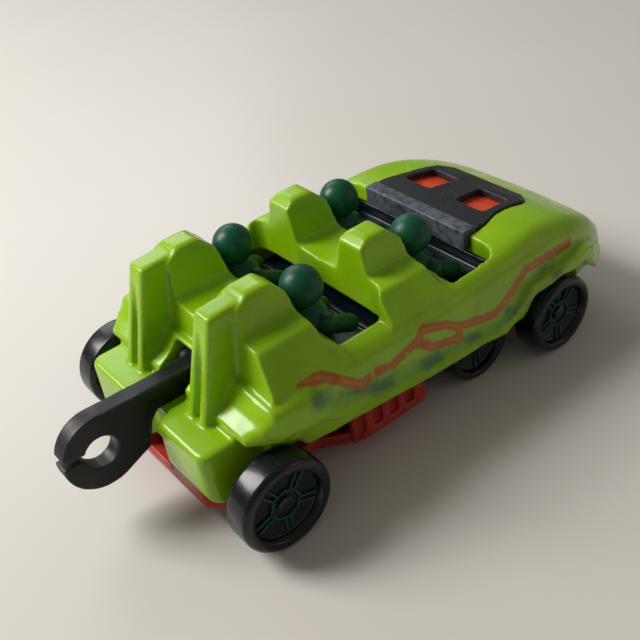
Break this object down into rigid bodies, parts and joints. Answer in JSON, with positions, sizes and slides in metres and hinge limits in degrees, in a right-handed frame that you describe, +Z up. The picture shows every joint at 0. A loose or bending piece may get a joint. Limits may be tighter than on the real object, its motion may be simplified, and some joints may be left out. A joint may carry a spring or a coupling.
{
  "type": "pull back car",
  "caption": "Small lime green pull back car with double seat rows, dark green riders, a dark hood frame, black wheels and a split ring coupler behind.",
  "frame": {"origin": "on the ground under the middle of the car", "axes": "+X to the nose, +Y to the car's left, +Z up"},
  "size_m": [0.078, 0.0388, 0.0264],
  "materials": {
    "shell_lime": "gloss",
    "base_red": "satin",
    "tub_navy": "satin",
    "insert_grey": "satin",
    "light_orange": "gloss",
    "rider_green": "satin",
    "hook_grey": "satin",
    "steel": "brushed",
    "wheel_black": "gloss",
    "motor_grey": "satin",
    "gear_white": "satin",
    "screw_steel": "brushed"
  },
  "bodies": {
    "chassis": {"body_shell": "shell_lime", "base_plate": "base_red", "interior_tub": "tub_navy", "hood_insert": "insert_grey", "hood_light_panel": "light_orange", "rider_rear_left": "rider_green", "rider_rear_right": "rider_green", "rider_front_left": "rider_green", "rider_front_right": "rider_green", "hook_pivot_pin": "steel", "front_coupling_pin": "steel", "base_screws": "screw_steel", "motor_case_left": "motor_grey", "motor_case_right": "motor_grey", "idler_shaft": "steel", "drum_shaft": "steel"},
    "coupler": {"coupler_hook": "hook_grey"},
    "rear_wheelset": {"rear_axle": "steel", "rear_wheel_left": "wheel_black", "rear_wheel_right": "wheel_black"},
    "front_wheelset": {"front_axle": "steel", "front_wheel_left": "wheel_black", "front_wheel_right": "wheel_black"},
    "drive_wheelset": {"drive_axle": "steel", "drive_wheel_left": "wheel_black", "drive_wheel_right": "wheel_black", "axle_pinion": "gear_white"},
    "idler": {"idler_gear": "gear_white"},
    "drum": {"spring_drum": "gear_white", "mainspring": "steel"}
  },
  "joints": [
    {"name": "coupler_swing", "type": "hinge", "parent": "chassis", "child": "coupler", "pos_m": [-0.0194, 0, 0.0137], "axis": [0, 1, 0], "range_deg": [0, 20]},
    {"name": "rear_wheels_spin", "type": "hinge", "parent": "chassis", "child": "rear_wheelset", "pos_m": [-0.022, 0, 0.006], "axis": [0, 1, 0], "continuous": true},
    {"name": "front_wheels_spin", "type": "hinge", "parent": "chassis", "child": "front_wheelset", "pos_m": [0.0246, 0, 0.0055], "axis": [0, 1, 0], "continuous": true},
    {"name": "drive_wheels_spin", "type": "hinge", "parent": "chassis", "child": "drive_wheelset", "pos_m": [0.013, 0, 0.0052], "axis": [0, 1, 0], "continuous": true},
    {"name": "idler_spin", "type": "hinge", "parent": "chassis", "child": "idler", "pos_m": [0.0077, 0, 0.007], "axis": [0, 1, 0], "continuous": true},
    {"name": "drum_spin", "type": "hinge", "parent": "chassis", "child": "drum", "pos_m": [0.0019, 0, 0.007], "axis": [0, 1, 0], "continuous": true}
  ],
  "couplings": [
    {"joint": "idler_spin", "follows": "drive_wheels_spin", "ratio": -0.55556},
    {"joint": "drum_spin", "follows": "drive_wheels_spin", "ratio": 0.25}
  ]
}
